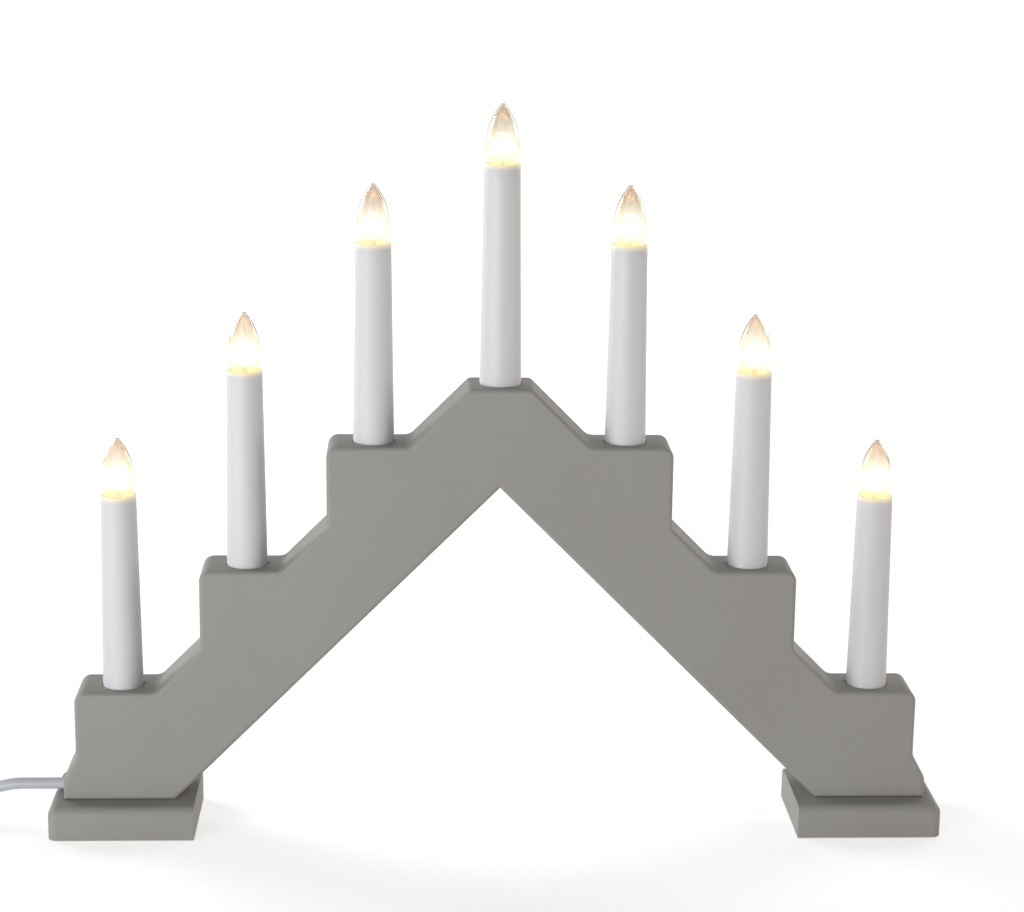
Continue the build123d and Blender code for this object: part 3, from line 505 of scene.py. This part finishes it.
# Bulb glass: a clear blown flame shape with a drawn-off tip, wavy on the inside
# from the blowing. Its colour is painted light: golden at the neck, white in the
# belly and peach towards the tip, with a painted streak tint, painted tan edges
# and a faint painted glow.
bulb_top, bulb_belly, bulb_belly_height = 25.0, 7.1, 7.6
nib_reach, nib_height = 1.1, 24.4
neck_reach, shoulder, neck_end = 4.25, -4.3, -8.0
glass_wall = 0.5
crown_rise = nib_height - bulb_belly_height
crown_arc = (crown_rise**2 + (bulb_belly - nib_reach) ** 2) / (2 * (bulb_belly - nib_reach))
waist_fall = bulb_belly_height - shoulder
waist_arc = (waist_fall**2 + (bulb_belly - neck_reach) ** 2) / (2 * (bulb_belly - neck_reach))
crown_steps, crown_ease, waist_steps = 26, 1.3, 14
glass_line = [
    (0, bulb_top),
    (nib_reach * 0.45, bulb_top - 0.07),
    (nib_reach * 0.8, bulb_top - 0.27),
]
for k in range(crown_steps + 1):
    climb = crown_rise * (1 - (k / crown_steps) ** crown_ease)
    reach = bulb_belly - crown_arc + math.sqrt(crown_arc**2 - climb**2)
    glass_line.append((reach, bulb_belly_height + climb))
for k in range(1, waist_steps + 1):
    fall = waist_fall * k / waist_steps
    reach = bulb_belly - waist_arc + math.sqrt(waist_arc**2 - fall**2)
    glass_line.append((reach, bulb_belly_height - fall))
glass_line.append((neck_reach, neck_end))
glass_pattern = turned("glass", glass_line, steps=96)
outer_points = len(glass_pattern.data.vertices)
wall = glass_pattern.modifiers.new("wall", "SOLIDIFY")
wall.thickness = glass_wall * mm
wall.offset = -1
bpy.ops.object.select_all(action="DESELECT")
glass_pattern.select_set(True)
bpy.context.view_layer.objects.active = glass_pattern
bpy.ops.object.modifier_apply(modifier="wall")
rib_count, broad_ribs, rib_depth = 14, 5, 0.16
rib_start, rib_run = 4.0, 8.0
rib_least_reach, rib_full_reach = 0.0008, 0.003
for point in glass_pattern.data.vertices[outer_points:]:
    reach = math.hypot(point.co.x, point.co.y)
    height = point.co.z / mm
    if reach < rib_least_reach or height < rib_start:
        continue
    swell = min((height - rib_start) / rib_run, 1.0) * min(reach / rib_full_reach, 1.0)
    turn = math.atan2(point.co.y, point.co.x)
    wave = math.cos(rib_count * turn) * 0.7 + math.cos(broad_ribs * turn + 1.1) * 0.3
    gain = 1 - rib_depth * mm * swell * (wave + 1) / 2 / reach
    point.co.x *= gain
    point.co.y *= gain
height_marks(glass_pattern)
glass_painted_lit, tree, shader = new_finish("glass_painted_lit", 0.02)
shader.inputs["Transmission Weight"].default_value = 1.0
shader.inputs["IOR"].default_value = 1.40
glass_height = tree.nodes.new("ShaderNodeAttribute")
glass_height.attribute_name = "above_rim"
glass_share = tree.nodes.new("ShaderNodeMapRange")
glass_share.inputs["From Min"].default_value = neck_end
glass_share.inputs["From Max"].default_value = bulb_top
tree.links.new(glass_height.outputs["Fac"], glass_share.inputs["Value"])
# Painted reflection: a peach tint in fine vertical streaky bands over the upper glass, multiplied on the
# painted lit colour.
glass_painted_streak = tree.nodes.new("ShaderNodeMix")
glass_painted_streak.data_type = "RGBA"
glass_painted_streak.blend_type = "MULTIPLY"
glass_painted_streak.inputs["B"].default_value = (0.93, 0.83, 0.76, 1)
# Painted light: the clear glass is coloured by height, golden at the neck, white in the belly and peach
# towards the tip, for the lit look of the bulb.
tint(
    tree,
    glass_share.outputs["Result"],
    [
        (0.00, (0.97, 0.87, 0.64)),
        (0.25, (0.98, 0.93, 0.80)),
        (0.30, (0.95, 0.91, 0.78)),
        (0.34, (0.97, 0.95, 0.84)),
        (0.385, (1.0, 0.99, 0.93)),
        (0.46, (0.98, 0.99, 0.96)),
        (0.54, (0.98, 0.98, 0.93)),
        (0.62, (0.97, 0.945, 0.875)),
        (0.78, (0.97, 0.92, 0.835)),
        (0.855, (0.97, 0.87, 0.77)),
        (0.93, (0.90, 0.815, 0.735)),
        (1.0, (0.78, 0.71, 0.66)),
    ],
    glass_painted_streak.inputs["A"],
)
painted_streak_noise = speckle(tree, 480.0, 2.0, (1, 1, 0.05))
painted_streak_share = tree.nodes.new("ShaderNodeMath")
painted_streak_share.operation = "MULTIPLY"
span(tree, painted_streak_noise, (0.46, 0.66), (0, 1), painted_streak_share.inputs[0])
span(tree, glass_share.outputs["Result"], (0.50, 0.78), (0, 0.9), painted_streak_share.inputs[1])
tree.links.new(painted_streak_share.outputs[0], glass_painted_streak.inputs["Factor"])
# Painted shade at the edges: the colour darkens to tan where the glass turns away from view, standing in
# for its dark outline.
glass_painted_edge = tree.nodes.new("ShaderNodeMix")
glass_painted_edge.data_type = "RGBA"
glass_painted_edge.blend_type = "MULTIPLY"
glass_painted_edge.inputs["Factor"].default_value = 1.0
glass_facing = tree.nodes.new("ShaderNodeLayerWeight")
tint(
    tree,
    glass_facing.outputs["Facing"],
    [
        (0.0, (1.0, 1.0, 1.0)),
        (0.2, (0.99, 0.98, 0.95)),
        (0.5, (0.93, 0.88, 0.80)),
        (0.8, (0.70, 0.61, 0.51)),
        (1.0, (0.46, 0.39, 0.32)),
    ],
    glass_painted_edge.inputs["B"],
)
tree.links.new(glass_painted_streak.outputs["Result"], glass_painted_edge.inputs["A"])
tree.links.new(glass_painted_edge.outputs["Result"], shader.inputs["Base Color"])
# Painted glow: a faint warm emission in the glass, full up to 9 mm over the rim and fading out by 17 mm.
shader.inputs["Emission Color"].default_value = (1.0, 0.90, 0.68, 1)
span(tree, glass_height.outputs["Fac"], (17.0, 9.0), (0, 0.11), shader.inputs["Emission Strength"])
span(tree, speckle(tree, 300.0, 2.0), (0.3, 0.7), (0.0, 0.04), shader.inputs["Roughness"])
glass_pattern.data.materials.append(glass_painted_lit)
for number, glass in enumerate(on_every_candle(glass_pattern, "glass"), 1):
    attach(glass, f"bulb_{number}")
    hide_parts(f"bulb_glass_{number}")

# Bulb caps: thin brass with the screw thread rolled into it, cemented on the
# neck of the glass. They show when a bulb is screwed up out of its sleeve.
cap_top, cap_end = -4.5, -14.5
thread_crest, thread_root, thread_pitch = 4.65, 4.27, 1.814
thread_steps, thread_turns = 10, 6
thread_top, thread_end = cap_top - 1.7, cap_end + 1.2
collar_reach, lip_reach, crimp_reach = 4.40, 4.60, 3.4
cap_metal = 0.2
close_by = 0.00001
thread_line = []
for k in range(thread_steps + 1):
    swing = (1 - math.cos(math.tau * k / thread_steps)) / 2
    reach = thread_root + (thread_crest - thread_root) * swing
    thread_line.append((reach, cap_end + thread_pitch * (k / thread_steps - 0.5)))
cap_pattern = drawn_line("cap", thread_line)
bpy.ops.object.mode_set(mode="OBJECT")
thread = cap_pattern.modifiers.new("thread", "SCREW")
thread.screw_offset = thread_pitch * mm
thread.iterations = thread_turns
thread.steps = thread.render_steps = 48
thread.use_merge_vertices = True
thread.merge_threshold = weld
bpy.ops.object.modifier_apply(modifier="thread")
bpy.ops.object.mode_set(mode="EDIT")
bpy.ops.mesh.select_all(action="SELECT")
bpy.ops.mesh.remove_doubles(threshold=weld)
for cut, above in ((thread_top, True), (thread_end, False)):
    bpy.ops.mesh.select_all(action="SELECT")
    bpy.ops.mesh.bisect(
        plane_co=(0, 0, cut * mm), plane_no=(0, 0, 1), clear_outer=above, clear_inner=not above
    )
bpy.ops.object.mode_set(mode="OBJECT")


def drawn_rings(piece, start, rings):
    """Draws the open edge at a height on to the given rings, as reach and height."""
    bpy.ops.object.mode_set(mode="EDIT")
    bpy.ops.mesh.select_all(action="DESELECT")
    bpy.ops.object.mode_set(mode="OBJECT")
    for point in piece.data.vertices:
        point.select = abs(point.co.z - start * mm) < close_by
    for reach, height in rings:
        bpy.ops.object.mode_set(mode="EDIT")
        bpy.ops.mesh.select_mode(type="VERT")
        bpy.ops.mesh.extrude_region_move()
        bpy.ops.object.mode_set(mode="OBJECT")
        for point in piece.data.vertices:
            if point.select:
                flat = Vector((point.co.x, point.co.y, 0)).normalized() * reach * mm
                point.co = (flat.x, flat.y, height * mm)


drawn_rings(
    cap_pattern,
    thread_top,
    [
        (collar_reach, cap_top - 1.4),
        (collar_reach, cap_top - 0.3),
        (lip_reach, cap_top),
        (thread_root, cap_top),
    ],
)
drawn_rings(
    cap_pattern,
    thread_end,
    [(4.20, cap_end + 0.7), (4.05, cap_end + 0.2), (crimp_reach, cap_end)],
)
bpy.ops.object.mode_set(mode="EDIT")
bpy.ops.mesh.select_all(action="SELECT")
bpy.ops.mesh.normals_make_consistent(inside=False)
bpy.ops.object.mode_set(mode="OBJECT")
cap_sheet = cap_pattern.modifiers.new("sheet", "SOLIDIFY")
cap_sheet.thickness = cap_metal * mm
cap_sheet.offset = -1
bpy.ops.object.modifier_apply(modifier="sheet")
bpy.ops.object.shade_smooth_by_angle(angle=math.radians(50))
cap_pattern.data.materials.append(thread_brass)
for number, cap in enumerate(on_every_candle(cap_pattern, "cap"), 1):
    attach(cap, f"bulb_{number}")
    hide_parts(f"bulb_cap_{number}")

# Bulb tips: a black glass insulator that closes the cap, with the blob of solder
# in its middle that touches the holder's contact.
tip_end, solder_top = -17.0, -16.0
tip_pattern = turned(
    "tip",
    [
        (0, tip_end),
        (1.0, tip_end),
        (1.5, -16.75),
        (1.8, -16.2),
        (1.85, solder_top),
        (2.2, solder_top),
        (2.6, -15.8),
        (3.5, -14.9),
        (4.0, cap_end - 0.05),
        (4.0, cap_end),
        (0, cap_end),
    ],
    steps=48,
)
black_glass, tree, shader = new_finish("black_glass", 0.18)
mottle(tree, shader, speckle(tree, 300.0, 3.0), (0.012, 0.012, 0.016), (0.03, 0.028, 0.034))
soft_solder, tree, shader = new_finish("soft_solder", 0.4, 1.0)
solder_skin = speckle(tree, 700.0, 3.0)
mottle(tree, shader, solder_skin, (0.42, 0.42, 0.43), (0.62, 0.62, 0.62))
relief(tree, solder_skin, 0.3, 0.0001, shader)
tip_pattern.data.materials.append(black_glass)
tip_pattern.data.materials.append(soft_solder)
for face in tip_pattern.data.polygons:
    face.material_index = 1 if face.center.z < (solder_top + 0.01) * mm else 0
for number, tip in enumerate(on_every_candle(tip_pattern, "tip"), 1):
    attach(tip, f"bulb_{number}_carrier")
    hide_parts(f"bulb_tip_{number}")

# Filaments: a flared glass stem pinched round two nickel supports, and a hoop of
# fine coiled tungsten between their hooks, glowing.
# Painted glow: the stem glass and the nickel supports glow faintly, standing in for the hot filament's
# light on them; only the tungsten is the lamp.
stem_glass_painted_glow, tree, shader = new_finish("stem_glass_painted_glow", 0.12)
mottle(tree, shader, speckle(tree, 260.0, 2.0), (0.80, 0.68, 0.40), (0.90, 0.80, 0.54))
shader.inputs["Emission Color"].default_value = (1.0, 0.78, 0.40, 1)
shader.inputs["Emission Strength"].default_value = 0.12
support_nickel_painted_glow, tree, shader = new_finish("support_nickel_painted_glow", 0.3, 1.0)
mottle(tree, shader, speckle(tree, 500.0, 3.0), (0.62, 0.59, 0.52), (0.76, 0.73, 0.66))
shader.inputs["Emission Color"].default_value = (1.0, 0.88, 0.64, 1)
shader.inputs["Emission Strength"].default_value = 0.30
hot_tungsten, tree, shader = new_finish("hot_tungsten", 0.5)
tint(
    tree,
    speckle(tree, 900.0, 2.0),
    [(0.3, (1.0, 0.62, 0.26)), (0.7, (1.0, 0.80, 0.46))],
    shader.inputs["Emission Color"],
)
shader.inputs["Emission Strength"].default_value = 5.0
stem = turned(
    "stem",
    [
        (0, neck_end),
        (3.5, neck_end),
        (3.5, -7.6),
        (2.6, -7.0),
        (1.7, -5.6),
        (1.25, -4.0),
        (1.2, 0.4),
        (0.9, 1.0),
        (0, 1.0),
    ],
    steps=40,
)
stem.data.materials.append(stem_glass_painted_glow)


def wire_along(name, points, thickness, finish):
    """A round wire through points in millimetres."""
    bpy.ops.object.select_all(action="DESELECT")
    bpy.ops.curve.primitive_nurbs_path_add()
    wire = bpy.context.object
    wire.name = wire.data.name = name
    line = wire.data.splines[0]
    line.points.add(len(points) - len(line.points))
    for point, place in zip(line.points, points):
        point.co = (*(Vector(place) * mm), 1)
    line.order_u = 3
    line.use_endpoint_u = True
    line.resolution_u = 3
    wire.data.bevel_depth = thickness / 2 * mm
    wire.data.bevel_resolution = 2
    wire.data.use_fill_caps = True
    bpy.ops.object.convert(target="MESH")
    wire = bpy.context.object
    wire.data.materials.append(finish)
    return wire


hoop_reach, hoop_height, hoop_rise = 2.2, 11.0, 1.5
winding_reach, windings, winding_steps = 0.26, 30, 240
support_thickness, tungsten_thickness = 0.4, 0.1
stem_pieces = [stem]
for side in (-1, 1):
    stem_pieces.append(
        wire_along(
            "support",
            [
                (side * 0.6, 0, -2.0),
                (side * 0.6, 0, 1.2),
                (side * hoop_reach, 0, 3.6),
                (side * hoop_reach, 0, 7.0),
                (side * hoop_reach, 0, hoop_height),
                (side * 2.0, 0, 11.35),
            ],
            support_thickness,
            support_nickel_painted_glow,
        )
    )
coil_line = []
for k in range(winding_steps + 1):
    share = k / winding_steps
    bow = math.pi * (1 - share)
    centre = Vector((hoop_reach * math.cos(bow), 0, hoop_height + hoop_rise * math.sin(bow)))
    outward = Vector((math.cos(bow), 0, math.sin(bow)))
    spin = math.tau * windings * share
    sideways = Vector((0, winding_reach * math.sin(spin), 0))
    coil_line.append(centre + outward * winding_reach * math.cos(spin) + sideways)
stem_pieces.append(wire_along("tungsten", coil_line, tungsten_thickness, hot_tungsten))
bpy.ops.object.select_all(action="DESELECT")
for piece in stem_pieces:
    piece.select_set(True)
bpy.context.view_layer.objects.active = stem
bpy.ops.object.join()
for number, filament in enumerate(on_every_candle(stem, "filament"), 1):
    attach(filament, f"bulb_{number}")
    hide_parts(f"bulb_filament_{number}")

# Wires: single cores in white sheath that link the holders in series, laid in
# the groove under the arms, and the nylon clamp that grips the lead.
wire_white, tree, shader = new_finish("wire_white", 0.4)
mottle(tree, shader, speckle(tree, 90.0, 3.0), (0.66, 0.66, 0.65), (0.76, 0.76, 0.75))
dress(wire_white, "link_wires", "feed_wire", "return_wire")
clamp_nylon, tree, shader = new_finish("clamp_nylon", 0.5)
clamp_flow = speckle(tree, 220.0, 3.0)
mottle(tree, shader, clamp_flow, (0.62, 0.62, 0.60), (0.74, 0.74, 0.72))
relief(tree, clamp_flow, 0.15, 0.0001, shader)
dress(clamp_nylon, "cord_clamp")

# Coil tie: a narrow strap of grey-white plastic with a ribbed face, closed round
# the turns of the coil with a small head.
tie_strap, tree, shader = new_finish("tie_strap", 0.45)
mottle(tree, shader, speckle(tree, 150.0, 3.0), (0.30, 0.31, 0.33), (0.38, 0.39, 0.41))
tie_place = tree.nodes.new("ShaderNodeTexCoord")
tie_ribs = tree.nodes.new("ShaderNodeTexWave")
tie_ribs.bands_direction = "DIAGONAL"
tie_ribs.inputs["Scale"].default_value = 180.0
tree.links.new(tie_place.outputs["Object"], tie_ribs.inputs["Vector"])
relief(tree, tie_ribs.outputs["Fac"], 0.4, 0.0002, shader)
dress(tie_strap, "coil_tie")

# Plug: a flat moulded two-pin plug in the lead's white plastic, with finger grips
# across its waist and a ringed sleeve that keeps the lead from kinking.
plug_white, tree, shader = new_finish("plug_white", 0.4)
plug_flow = speckle(tree, 70.0, 3.0)
mottle(tree, shader, plug_flow, (0.53, 0.55, 0.58), (0.61, 0.63, 0.66))
span(tree, plug_flow, (0.3, 0.7), (0.34, 0.46), shader.inputs["Roughness"])
relief(tree, speckle(tree, 800.0, 2.0), 0.12, 0.00005, shader)
low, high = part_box("plug_body")
plug_y, plug_z = (low.y + high.y) / 2, (low.z + high.z) / 2
plug_length = 34.0
relief_length = (high.x - low.x) / mm - plug_length
plug_width, plug_thickness = (high.y - low.y) / mm, (high.z - low.z) / mm
shoulder_length, back_share, plug_round = 10.0, 0.5, 2.4
grip_count, grip_start, grip_step = 5, 12.0, 2.4
grip_half, grip_share = 0.7, 0.955
bpy.ops.object.select_all(action="DESELECT")
bpy.ops.mesh.primitive_cube_add(size=1)
plug = bpy.context.object
plug.name = plug.data.name = "plug"
plug.scale = (plug_length * mm, plug_width * mm, plug_thickness * mm)
plug.location = (low.x + plug_length / 2 * mm, plug_y, plug_z)
bpy.ops.object.transform_apply(location=True, rotation=True, scale=True)
shoulder_x = low.x + (plug_length - shoulder_length) * mm
bpy.ops.object.mode_set(mode="EDIT")
bpy.ops.mesh.select_all(action="SELECT")
bpy.ops.mesh.bisect(plane_co=(shoulder_x, 0, 0), plane_no=(1, 0, 0))
bpy.ops.object.mode_set(mode="OBJECT")
for point in plug.data.vertices:
    if point.co.x > shoulder_x + close_by:
        point.co.y = plug_y + (point.co.y - plug_y) * back_share
rounding = plug.modifiers.new("rounding", "BEVEL")
rounding.width = plug_round * mm
rounding.segments = 5
rounding.limit_method = "ANGLE"
rounding.angle_limit = math.radians(50)
bpy.ops.object.modifier_apply(modifier="rounding")
for k in range(grip_count):
    middle = low.x + (grip_start + grip_step * k) * mm
    for shift in (-grip_half, 0, grip_half):
        bpy.ops.object.mode_set(mode="EDIT")
        bpy.ops.mesh.select_all(action="SELECT")
        bpy.ops.mesh.bisect(plane_co=(middle + shift * mm, 0, 0), plane_no=(1, 0, 0))
        bpy.ops.object.mode_set(mode="OBJECT")
    for point in plug.data.vertices:
        if abs(point.co.x - middle) < close_by:
            point.co.y = plug_y + (point.co.y - plug_y) * grip_share
            point.co.z = plug_z + (point.co.z - plug_z) * grip_share
bpy.ops.object.shade_smooth_by_angle(angle=math.radians(35))
ring_pitch, ring_least, ring_gain = 3.2, 3.2, 1.3
ring_ease, ring_groove = 0.1, 0.55
ring_line = [(0, 0), (ring_least, 0)]
ring_count = max(int(relief_length / ring_pitch), 2)
for k in range(ring_count):
    base = relief_length * k / ring_count
    step = relief_length / ring_count
    reach = ring_least + ring_gain * (k + 1) / ring_count
    ring_line += [
        (reach - ring_ease, base + 0.12 * step),
        (reach, base + 0.2 * step),
        (reach, base + 0.62 * step),
        (reach - ring_ease, base + 0.7 * step),
        (reach - ring_groove, base + 0.78 * step),
        (reach - ring_groove, base + step),
    ]
ring_line += [(4.4, relief_length + 1.0), (0, relief_length + 1.0)]
sleeve_relief = turned("relief_sleeve", ring_line, steps=40)
toward_pins = Matrix.Rotation(math.radians(-90), 4, "Y")
sleeve_relief.data.transform(Matrix.Translation((high.x, plug_y, plug_z)) @ toward_pins)
bpy.ops.object.select_all(action="DESELECT")
sleeve_relief.select_set(True)
plug.select_set(True)
bpy.context.view_layer.objects.active = plug
bpy.ops.object.join()
plug.data.materials.clear()
plug.data.materials.append(plug_white)
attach(plug, "stand")
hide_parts("plug_body")

# Plug pins: two round nickel-plated pins with round ends, sheathed in plastic for
# the half next to the plug.
low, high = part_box("plug_pins")
pin_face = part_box("plug_body")[0].x
pin_reach = (pin_face - low.x) / mm
pin_radius, pin_root = 2.0, -6.0
sheath_radius, sheath_edge, sheath_end = 1.9, 1.82, 10.0
pin = turned(
    "pin",
    [
        (0, pin_root),
        (sheath_radius, pin_root),
        (sheath_radius, sheath_end - 0.4),
        (sheath_edge, sheath_end - 0.2),
        (sheath_edge, sheath_end),
        (pin_radius, sheath_end + 0.2),
        (pin_radius, pin_reach - 1.3),
        (1.7, pin_reach - 0.45),
        (1.0, pin_reach - 0.08),
        (0, pin_reach),
    ],
    steps=40,
)
pin_nickel, tree, shader = new_finish("pin_nickel", 0.24, 1.0)
pin_polish = speckle(tree, 300.0, 4.0)
mottle(tree, shader, pin_polish, (0.58, 0.56, 0.52), (0.72, 0.70, 0.66))
span(tree, pin_polish, (0.3, 0.7), (0.18, 0.34), shader.inputs["Roughness"])
pin_sheath, tree, shader = new_finish("pin_sheath", 0.45)
mottle(tree, shader, speckle(tree, 120.0, 3.0), (0.025, 0.025, 0.028), (0.05, 0.05, 0.055))
pin.data.materials.append(pin_sheath)
pin.data.materials.append(pin_nickel)
for face in pin.data.polygons:
    face.material_index = 1 if face.center.z > sheath_end * mm else 0
pin_place = (pin_face, low.y + pin_radius * mm, (low.z + high.z) / 2)
pin.data.transform(Matrix.Translation(pin_place) @ toward_pins)
second_pin = pin.copy()
second_pin.data = pin.data.copy()
second_pin.data.transform(Matrix.Translation((0, high.y - low.y - 2 * pin_radius * mm, 0)))
bpy.context.collection.objects.link(second_pin)
bpy.ops.object.select_all(action="DESELECT")
second_pin.select_set(True)
pin.select_set(True)
bpy.context.view_layer.objects.active = pin
bpy.ops.object.join()
pin.name = pin.data.name = "pins"
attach(pin, "stand")
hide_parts("plug_pins")
